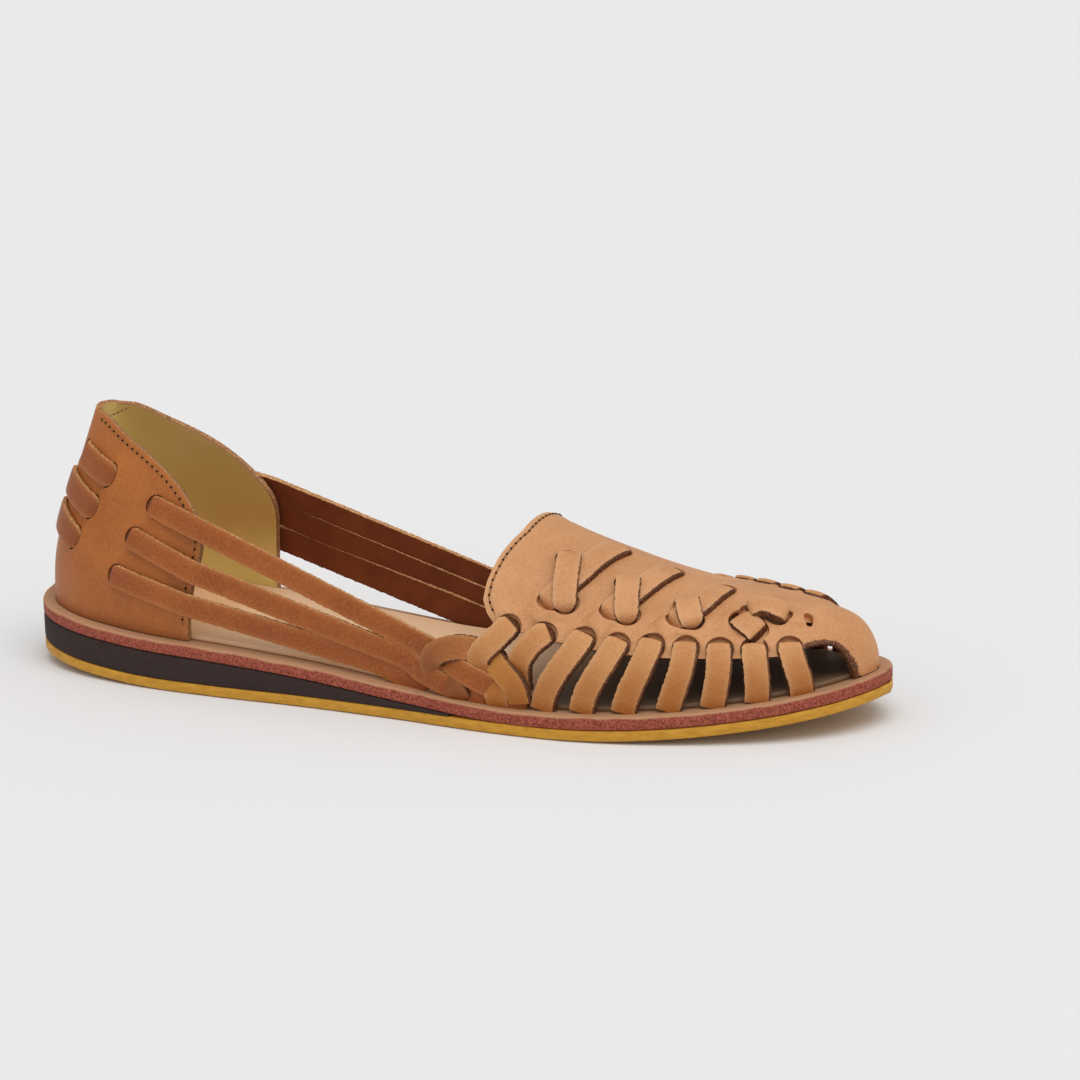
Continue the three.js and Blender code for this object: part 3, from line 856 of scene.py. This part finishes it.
# ---- Vamp ----
THROAT = [(0, 158.9), (0.2, 158.8), (0.41, 156.4), (0.55, 155.2), (0.63, 155.2), (0.68, 157.0), (0.71, 159.4)]
PANEL_SIDE = [(150, 0.7), (235, 0.68), (243, 0.665), (246, 0.60), (248.6, 0.555), (251, 0.535), (253.6, 0.55),
              (255.6, 0.62), (257, 0.74), (257.9, 0.9), (258.1, 1.0), (262, 1.0)]

SIDE_STRAPS = [
    # slot x, slot s outside and inside the foot, foot x, forward bow
    (187.2, 0.60, 0.60, 176, 0.0),
    (196.9, 0.59, 0.59, 187.8, 0.3),
    (205.8, 0.56, 0.46, 199.8, 0.9),
    (214.8, 0.555, 0.37, 212.1, 1.6),
    (223.8, 0.55, 0.30, 224.0, 1.2),
    (232.8, 0.54, 0.26, 235.5, 0.8),
    (241.8, 0.51, 0.24, 246.8, 0.4),
]
CROSSINGS = [
    # middle lines as x, s: the upper strip, then the lower one with its under-leather hump
    ([(172.7, 0.20), (179.2, 0.54)], [(172.8, 0.545), (176.2, 0.42), (179.0, 0.27), (182.0, -0.08)], 4.5),
    ([(191.0, 0.20), (197.2, 0.51)], [(190.6, 0.50), (193.9, 0.38), (196.6, 0.23), (199.4, -0.05)], 4.5),
    ([(209.6, 0.25), (215.6, 0.48)], [(209.2, 0.465), (212.2, 0.38), (214.8, 0.28), (217.4, 0.02)], 4.0),
    ([(227.6, 0.31), (232.0, 0.27), (239.9, 0.30)], [(225.4, 0.33), (229.8, 0.41), (234.4, 0.49)], 0),
]
# x, s and lift over the inner face, for the straps of the weave low on each side
WEAVE = {
    "first_side_strap": [(165.8, 0.65, 1.9), (161.7, 0.74, 2.1), (156.9, 0.83, 2.3), (156.6, 0.88, 1.2),
                         (159.5, 0.92, 0.5), (162.0, 0.96, 1.9), (162.6, 1.0, 0.9)],
    "second_side_strap": [(177.4, 0.645, 1.9), (173.1, 0.71, 2.1), (169.6, 0.80, 1.9), (168.4, 0.87, 0.5),
                          (168.8, 0.94, 0.3)],
    "scoop_strap": [(158.0, 0.845, 0.2), (153.9, 0.825, 1.5), (148.2, 0.84, 2.6), (142.8, 0.88, 3.0),
                    (141.6, 0.92, 2.2), (144.2, 0.95, 0.6), (148.8, 0.975, 1.9), (150.2, 1.0, 0.9)],
    "gold_strap": [(157.8, 0.80, 0.2), (160.9, 0.845, 0.9), (165.0, 0.88, 2.3), (168.3, 0.92, 2.6),
                   (169.2, 0.98, 1.2)],
}
QUARTER_STRAPS = [
    # slot x and z, wing x and z, how much higher inside the foot, then rows through the weave
    (45.7, 51.8, 65, 46, -0.7, [
        (138.9, 0.87, 1.3), (143.5, 0.885, 0.9), (148.5, 0.90, 2.2), (153.5, 0.917, 2.6),
        (158.4, 0.935, 2.1), (162.6, 0.957, 0.4), (167.3, 0.975, 1.1), (170.9, 0.99, 0.5)]),
    (39.5, 42.5, 64, 34.5, 3.6, [
        (131.4, 0.925, 1.3), (138.0, 0.95, 1.9), (143.8, 0.965, 2.2), (149.3, 0.98, 0.5),
        (155.7, 0.985, 1.2), (158.6, 0.99, 0.6)]),
    (34.3, 31.3, 63, 25.4, 4.3, [(122, 0.962, 0.9), (131.3, 0.98, 0.6), (138.5, 0.99, 0.3)]),
]
BACK_STRAPS = [(18, 62, 32, 57), (12.5, 53.3, 26.5, 47.5), (9, 44, 20.5, 38)]
SIDES = {"outer": -1, "inner": 1}


def side_strap_path(side, slot_x, slot_outer, slot_inner, foot_x, bow):
    part = np.array([0, 0.06, 0.14, 0.3, 0.5, 0.7, 0.88, 1.0])
    sweep = 0.45 * part + 0.55 * part * part * (3 - 2 * part)
    slot_s = slot_outer if side < 0 else slot_inner
    x = slot_x + (foot_x - slot_x) * sweep + bow * np.sin(math.pi * part)
    s = slot_s + (1 - slot_s) * part
    lift = np.array([1.9, 2.1, 2.2, 1.9, 1.5, 1.2, 0.8, 0.4])
    return path_on_upper(side, np.stack([x, s, lift], axis=1))


HALF_GIRTH = 60  # about how many mm it is from the ridge to the welt


def crossing_paths(upper, lower):
    def rows(points, lifts):
        flat = np.array([(x, s * HALF_GIRTH, 0) for x, s in points], float)
        fine = curve_through(flat, len(lifts))
        return np.stack([fine[:, 0], fine[:, 1] / HALF_GIRTH, lifts], axis=1)

    strip = path_on_upper(-1, rows(upper, [2.6, 3.4, 3.9, 4.1, 3.9, 3.4, 2.4]))
    slant = path_on_upper(-1, rows(lower, [1.6, 2.0, 2.1, 2.2, 2.2, 2.1, 2.0, 1.7]))
    return strip, slant


TAB = [(245.9, 0.27), (241.0, 0.31)]


def vamp_slots():
    """Every slot in the vamp in batches that don't touch, for the leather and its cutters."""
    sides, strip_starts, strip_ends, slant_starts, slant_ends = [], [], [], [], []
    for side in SIDES.values():
        for row in SIDE_STRAPS:
            sides.append(slot_from_path(side_strap_path(side, *row), back=0.7, raise_by=0.1))
        for name in ("first_side_strap", "second_side_strap"):
            sides.append(slot_from_path(path_on_upper(side, WEAVE[name]), back=0.7, raise_by=0.1))
    for upper, lower, hump in CROSSINGS:
        strip, slant = crossing_paths(upper, lower)
        strip_starts.append(slot_from_path(strip, back=1.2, raise_by=-0.6))
        strip_ends.append(slot_from_path(strip, end=True, back=0.5, raise_by=-0.4))
        slant_starts.append(slot_from_path(slant, ridge=hump, back=0.9, raise_by=0.4))
        slant_ends.append(slot_from_path(slant, end=True, back=1.2, raise_by=0.3))
    tab = path_on_upper(-1, [(x, s, 1.6) for x, s in TAB])
    strip_ends.append(slot_from_path(tab[::-1], radius=2.7, back=0, end=True, shape=0.45,
                                     raise_by=0.4))
    return sides, strip_starts, strip_ends, slant_starts, slant_ends


TIP_CLEARANCE = 0.05
HOLE_SPREAD = 26  # mm for each unit of s beside the toe openings
VAMP_SLOT_DEPTH = 1.15


def vamp_grid(u, v):
    """Station and s on the vamp for a grid from the throat (u=0) to the toe."""
    lean = 2 * v - 1
    throat = np.interp(np.abs(lean) * 0.71, *zip(*THROAT))
    start = station_at(throat)
    station = start + (TOE - TIP_CLEARANCE - start) * u
    x = column(X, station)
    outer_x = np.where(lean < 0, x, x + toe_shift(x))
    return station, lean * np.interp(outer_x, *zip(*PANEL_SIDE))


# x, s, turn and depth of the soft creases: along the throat and between the slots
CREASES = [(163, -0.30, 0.3, 0.16), (166, -0.42, 0.9, 0.14), (168, 0.1, 0.1, 0.12), (163, 0.25, 0.2, 0.14),
           (184, -0.56, 1.3, 0.14), (186, -0.45, 1.0, 0.16), (203, -0.50, 1.2, 0.14), (221, -0.47, 1.3, 0.12),
           (204, -0.28, 0.5, 0.12), (170, -0.58, 1.2, 0.16), (178, -0.60, 1.4, 0.12), (238, -0.40, 1.4, 0.10)]


def vamp():
    batches = vamp_slots()
    slots = [slot for batch in batches for slot in batch]

    def relief(u, v):
        station, s = vamp_grid(u, v)
        push = slot_relief(upper_point(station, s, WALL), slots)
        x = column(X, station)
        for fold_x, fold_s, turn, depth in CREASES:
            offset = (x - fold_x) * math.cos(turn) + (s - fold_s) * HALF_GIRTH * math.sin(turn)
            along = -(x - fold_x) * math.sin(turn) + (s - fold_s) * HALF_GIRTH * math.cos(turn)
            push = push - depth * np.exp(-(offset / 0.9) ** 2 - (along / 5) ** 2)
        hump_x, hump_s = x - (TAB[0][0] + TAB[1][0]) / 2 + 1.2, (s + 0.3) * 42
        push = push + 1.2 * np.exp(-(hump_x / 3.6) ** 4 - (hump_s / 3.0) ** 4)
        rim = np.exp(-u / 0.03)
        return station, s, push + 0.5 * rim

    def place(u, v, w):
        station, s, push = relief(u, v)
        normal = upper_normal(station, s)
        outside = upper_point(station, s, WALL)
        rounding = 0.55 * np.exp(-u / 0.006) * (w < 0.5)
        lift = np.where(w < 0.5, push, np.minimum(push * 0.5, 0.2) - WALL + 0.3)
        tip = smooth_step(0, 0.02, 1 - u)
        return outside + normal * ((lift * np.where(w < 0.5, tip, 1)) - rounding)[:, None]

    def tints(u, v, w):
        station, s = vamp_grid(u, v)
        x = column(X, station)
        outer_x = np.where(s < 0, x, x + toe_shift(x))
        edge_x = np.linspace(242, 259.5, 140)
        edge_s = np.interp(edge_x, *zip(*PANEL_SIDE))
        away = np.hypot(outer_x[:, None] - edge_x, (np.abs(s)[:, None] - edge_s) * HOLE_SPREAD).min(axis=1)
        at_hole = smooth_step(243, 246, outer_x) * smooth_step(260, 258, outer_x)
        cut_edge_and_slot_shade = 1.5 * at_hole * np.exp(-away / 1.5) * (w < 0.5)
        return {"shade": np.zeros(len(u)), "edge": np.exp(-u / 0.012) * 0.8, "cut_edge_and_slot_shade": cut_edge_and_slot_shade}

    obj = block("vamp_panel", 210, 160, place, tints, bevel=0)
    for material in (VAMP, RAW, FLESH, SHADED_SLOT_EDGE):
        obj.data.materials.append(material)
    cut_slots(obj, [[slot[:6] for slot in batch] for batch in batches], VAMP_SLOT_DEPTH)
    dress(obj, [], "vamp_leather", "upper")


def side_straps():
    for word, side in SIDES.items():
        for number, row in enumerate(SIDE_STRAPS, start=3):
            obj = strap(f"side_strap_{word}_{number}", side_strap_path(side, *row), seed=number,
                        darken=0.7, fray=1.3)
            dress(obj, [STRAP_TAN, RAW, FLESH], "vamp_leather")
        for order, (name, rows) in enumerate(WEAVE.items()):
            slotted = name in ("first_side_strap", "second_side_strap")
            obj = strap(f"{name}_{word}", path_on_upper(side, rows), seed=40 + order,
                        dive=(3.0 if slotted else 0, 0), corner=(1.0 if slotted else 0, 0),
                        darken=0.9, fray=1.1)
            skin = {"gold_strap": STRAP_GOLD, "scoop_strap": STRAP_RUSSET}.get(name, STRAP_TAN)
            dress(obj, [skin, RAW, FLESH], "vamp_leather")


def crossings():
    for number, (upper, lower, _) in enumerate(CROSSINGS, start=1):
        strip, slant = crossing_paths(upper, lower)
        node = f"lacing_cross_{number}"
        over = strap(f"crossing_strip_{number}", strip, width=6.9, seed=60 + number, dive=(3.6, 3.0),
                     corner=(1, 1), thick=1.8, fray=0.9)
        dress(over, [VAMP, RAW, FLESH], "vamp_leather", node)
        under = strap(f"crossing_slant_{number}", slant, width=7.4, seed=70 + number, dive=(2.6, 2.8),
                      corner=(0.8, 0.6), thick=1.8, fray=1.2, slot_shade=(0, 1))
        dress(under, [VAMP, RAW, FLESH], "vamp_leather")


# ---- Heel ----
COUNTER_LEATHER = 1.4
BAND_WIDTH = 7.4


def quarter_path(side, slot_x, slot_z, wing_x, wing_z, inner_rise, weave):
    if side > 0:
        slot_z, wing_z = slot_z + inner_rise, wing_z + inner_rise
    part = np.array([0, 0.1, 0.22, 0.45, 0.72, 1.0])
    rows = np.stack([slot_x + (wing_x - slot_x) * part, slot_z + (wing_z - slot_z) * part], axis=1)
    rear = path_on_counter(side, rows, [0.2, 0.3, 0.4, 0.7, 1.1, 1.5])
    front = path_on_upper(side, weave)
    gap = [rear[-1] + (front[0] - rear[-1]) * t for t in (0.2, 0.4, 0.6, 0.8)]
    return np.vstack([rear, gap, front])


def back_strap_path(side, rear_x, rear_z, front_x, front_z):
    part = np.array([0, 0.12, 0.3, 0.5, 0.7, 0.88, 1.0])
    rows = np.stack([rear_x + (front_x - rear_x) * part, rear_z + (front_z - rear_z) * part], axis=1)
    return path_on_counter(side, rows, [0.25, 0.3, 0.35, 0.35, 0.35, 0.3, 0.25])


def collar_x(z):
    """How far forward the counter reaches at each height, from its side view."""
    line = np.array(COLLAR_LINE, float)
    padded = np.vstack([2 * line[0] - line[1], line, 2 * line[-1] - line[-2]])
    t = np.linspace(0, 1, 30)[:, None]
    fine = np.vstack([catmull_rom(*padded[row:row + 4], t) for row in range(len(line) - 1)])
    order = np.argsort(fine[:, 1])
    return np.interp(z, fine[order, 1], fine[order, 0])


def front_station(side, height, grow):
    """The station of the counter's front edge, or of its collar, at each height."""
    side, height = np.broadcast_arrays(np.asarray(side, float), np.asarray(height, float))
    low, high = np.zeros(height.shape), np.full(height.shape, 6.0)
    for _ in range(30):
        middle = (low + high) / 2
        point = counter_point(side, middle, height, grow)
        inside = point[..., 0] < collar_x(point[..., 2])
        low, high = np.where(inside, middle, low), np.where(inside, high, middle)
    return (low + high) / 2


def counter_top(grow):
    """The height over the footbed where the collar crosses the back of the heel."""
    low, high = 30.0, 70.0
    for _ in range(40):
        middle = (low + high) / 2
        point = counter_point(-1, 0.0, middle, grow)
        if point[0] < collar_x(point[2]):
            low = middle
        else:
            high = middle
    return (low + high) / 2


def counter_grid(u, v, top):
    """Station, side and height on the counter for a grid that ends at the collar and wings."""
    around = 2 * u - 1
    side = np.where(around < 0, -1.0, 1.0)
    height = top * (1 - (1 - v) ** 1.7)
    station = np.abs(around) * front_station(side, height, WALL)
    return side, station, height


def counter_slots():
    fronts, rears, bands = [], [], []
    for side in SIDES.values():
        for row in QUARTER_STRAPS:
            fronts.append(slot_from_path(quarter_path(side, *row)[:6], radius=QUARTER_WIDTH / 2, back=0.55))
        for row in BACK_STRAPS:
            path = back_strap_path(side, *row)
            rears.append(slot_from_path(path, radius=BAND_WIDTH / 2, back=0.9, shape=0.3))
            bands.append(slot_from_path(path, radius=BAND_WIDTH / 2, end=True, back=0.3, shape=0.6))
    return fronts + rears, bands


def heel_counter():
    top = counter_top(WALL)
    batches = counter_slots()
    slots = [slot for batch in batches for slot in batch]

    def place(u, v, w):
        side, station, height = counter_grid(u, v, top)
        outside = counter_point(side, station, height, WALL)
        push = slot_relief(outside, slots, swell=0.3)
        normal = counter_normal(side, station, height)
        rim = smooth_step(0.0, 0.03, 1 - v) * smooth_step(0, 0.02, 1 - np.abs(2 * u - 1))
        rounding = 0.35 * np.exp(-(1 - v) / 0.004)
        lift = np.where(w < 0.5, push * rim - rounding, -COUNTER_LEATHER)
        return outside + normal * lift[:, None]

    def tints(u, v, w):
        edge = np.exp(-(1 - np.abs(2 * u - 1)) / 0.012)
        foot = 0.55 * np.exp(-v / 0.02)
        # lighter at the front edges, and a painted highlight that fades down from the collar
        return {"shade": foot * (w < 0.5), "edge": edge + 0.7 * np.exp(-(1 - v) / 0.1)}

    obj = block("counter_leather", 280, 130, place, tints, bevel=0)
    for material in (COUNTER, RIM_LEATHER, FLESH, SHADED_SLOT_EDGE):
        obj.data.materials.append(material)
    cut_slots(obj, [[slot[:6] for slot in batch] for batch in batches], 0.95)
    dress(obj, [], "quarter_leather", "heel_counter")

    def lining_place(u, v, w):
        side, station, height = counter_grid(u, v, top)
        outside = counter_point(side, station, height, WALL)
        normal = counter_normal(side, station, height)
        return outside - normal * (COUNTER_LEATHER + 0.02 + 0.6 * w)[:, None]

    def lining_tints(u, v, w):
        forward = np.abs(2 * u - 1)
        return {"shade": 0.55 * smooth_step(0.2, 0.95, forward) * smooth_step(0.0, 0.3, v)}

    lining = block("counter_lining", 120, 60, lining_place, lining_tints, bevel=0)
    dress(lining, [BINDING, BINDING, LINING], "footbed_leather")


def quarter_straps():
    for word, side in SIDES.items():
        for number, row in enumerate(QUARTER_STRAPS, start=1):
            obj = strap(f"quarter_strap_{word}_{number}", quarter_path(side, *row), seed=80 + number,
                        width=QUARTER_WIDTH if side < 0 else INNER_QUARTER_WIDTH, thick=1.5, curl=0.15,
                        dive=(1.1, 0))
            dress(obj, [QUARTER, RAW_LIGHT, FLESH], "quarter_leather")
        for number, row in enumerate(BACK_STRAPS, start=1):
            obj = strap(f"back_band_{word}_{number}", back_strap_path(side, *row), seed=90 + number,
                        width=BAND_WIDTH, thick=1.3, curl=0.12, dive=(2.0, 1.5), corner=(0.2, 0.7),
                        darken=0.5)
            dress(obj, [QUARTER, RAW_LIGHT, FLESH], "quarter_leather", f"back_strap_{word}_{number}")


# ---- Stitches ----
def stitches(name, points, normals, pitch, size, shift=0.0):
    """A row of small rounded stitches along a line on the leather."""
    path = np.hstack([points, normals])
    length = np.linalg.norm(np.diff(points, axis=0), axis=1).sum()
    count = int(length / pitch)
    places = curve_through(path, 2 * count)[int(2 * shift)::2]
    run = unit(np.gradient(places[:, :3], axis=0))
    bpy.ops.mesh.primitive_uv_sphere_add(segments=8, ring_count=6, radius=1)
    obj = active(name)
    mesh = obj.data
    seed = np.array([vertex.co for vertex in mesh.vertices])
    faces = [list(face.vertices) for face in mesh.polygons]
    vertices, polygons = [], []
    for place, direction in zip(places, run):
        normal = unit(place[3:6])
        aside = np.cross(normal, direction)
        start = len(vertices)
        shaped = (seed[:, :1] * size[0] * direction + seed[:, 1:2] * size[1] * aside
                  + seed[:, 2:] * size[2] * normal + place[:3])
        vertices.extend(to_frame(shaped).tolist())
        polygons.extend([[index + start for index in face] for face in faces])
    joined = bpy.data.meshes.new(name)
    joined.from_pydata(vertices, [], polygons)
    obj.data = joined
    bpy.data.meshes.remove(mesh)
    face_out(obj)
    finish_mesh(obj, 80)
    return obj


def throat_line(inset, lift):
    lean = np.linspace(-0.97, 0.97, 60)
    throat = np.interp(np.abs(lean) * 0.71, *zip(*THROAT))
    station = station_at(throat + inset)
    s = lean * (0.7 - inset * 0.014)
    normal = upper_normal(station, s)
    return upper_point(station, s, WALL) + normal * lift, normal


def collar_line(inset, lift):
    top = counter_top(WALL)
    height = top * (1 - (1 - np.linspace(0.03, 0.9999, 240)) ** 3)
    rows = []
    for side, order in ((-1.0, 1), (1.0, -1)):
        station = front_station(side, height, WALL)
        point = counter_point(side, station, height, WALL)
        normal = counter_normal(side, np.maximum(station, 0.05), height)
        run = unit(np.gradient(point, axis=0))
        inward = unit(np.cross(normal, run))
        toward = counter_point(side, station * 0.9, height * 0.95, WALL) - point
        inward = inward * np.sign(np.sum(inward * toward, axis=1, keepdims=True))
        moved = point + inward * inset + normal * lift
        rows.append(np.hstack([moved, normal])[::order])
    both = np.vstack(rows)
    return both[:, :3], both[:, 3:]


def all_stitches():
    for name, line, inset, lift in (("throat", throat_line, 1.6, 0.5), ("collar", collar_line, 1.7, 0.12)):
        points, normals = line(inset, lift)
        obj = stitches(f"{name}_stitches", points, normals, 2.2, (0.8, 0.26, 0.12))
        dress(obj, [THREAD], "vamp_leather")
        # dark marks between the stitches: painted shade in the stitch holes
        obj = stitches(f"{name}_holes", points, normals, 2.2, (0.44, 0.34, 0.2), 0.5)
        dress(obj, [HOLE_SHADE], "vamp_leather")


# ---- Floor, light and camera ----
# Wide soft lamps: name, where it shines from, power and how wide it looks from the shoe
LAMPS = [("key", (0.35, -0.3, 1.2), 1.25, 50), ("fill", (-0.6, -1.0, 0.8), 0.3, 80),
         ("front", (1.0, -0.45, 0.75), 0.32, 70)]


def studio():
    bpy.ops.mesh.primitive_plane_add(size=12)
    floor = active("floor")
    floor.location.z = cad_box[0][2] - 0.0002
    material, _, shader = new_material("studio_floor", 0.9)
    shader.inputs["Base Color"].default_value = (0.83, 0.83, 0.83, 1)
    floor.data.materials.append(material)
    world = bpy.data.worlds.new("studio")
    bpy.context.scene.world = world
    world.use_nodes = True
    world.node_tree.nodes["Background"].inputs["Color"].default_value = (1, 1, 1, 1)
    world.node_tree.nodes["Background"].inputs["Strength"].default_value = 0.52
    for name, place, power, angle in LAMPS:
        data = bpy.data.lights.new(name, "SUN")
        data.energy = power
        data.angle = math.radians(angle)
        lamp = bpy.data.objects.new(name, data)
        bpy.context.scene.collection.objects.link(lamp)
        lamp.location = place
        lamp.rotation_euler = (-Vector(place)).to_track_quat("-Z", "Y").to_euler()
    bpy.context.scene.view_settings.view_transform = "Standard"


def camera():
    """A long lens from the outer side and a little in front, rolled slightly."""
    azimuth, elevation, roll = (math.radians(a) for a in (25.0, 15.0, 1.8))
    distance, sensor = 1.3, 36.0
    frame_side, frame_per_metre = 1080, 3480.0
    focal = frame_per_metre * distance
    right = Vector((math.cos(azimuth), math.sin(azimuth), 0))
    forward = Vector((-math.sin(azimuth) * math.cos(elevation),
                      math.cos(azimuth) * math.cos(elevation), -math.sin(elevation)))
    up = right.cross(forward)
    aside, above = 0.02584, 0.04032
    data = bpy.data.cameras.new("camera")
    data.sensor_width = sensor
    data.lens = focal / frame_side * sensor
    data.clip_start, data.clip_end = 0.05, 50
    obj = bpy.data.objects.new("camera", data)
    bpy.context.scene.collection.objects.link(obj)
    rolled_right = right * math.cos(roll) - up * math.sin(roll)
    rolled_up = up * math.cos(roll) + right * math.sin(roll)
    place = -forward * distance + right * aside + up * above
    matrix = Matrix((rolled_right, rolled_up, -forward)).transposed().to_4x4()
    matrix.translation = place
    obj.matrix_world = matrix
    bpy.context.scene.camera = obj


camera()
studio()
sole_pieces()
vamp()
side_straps()
crossings()
heel_counter()
quarter_straps()
all_stitches()
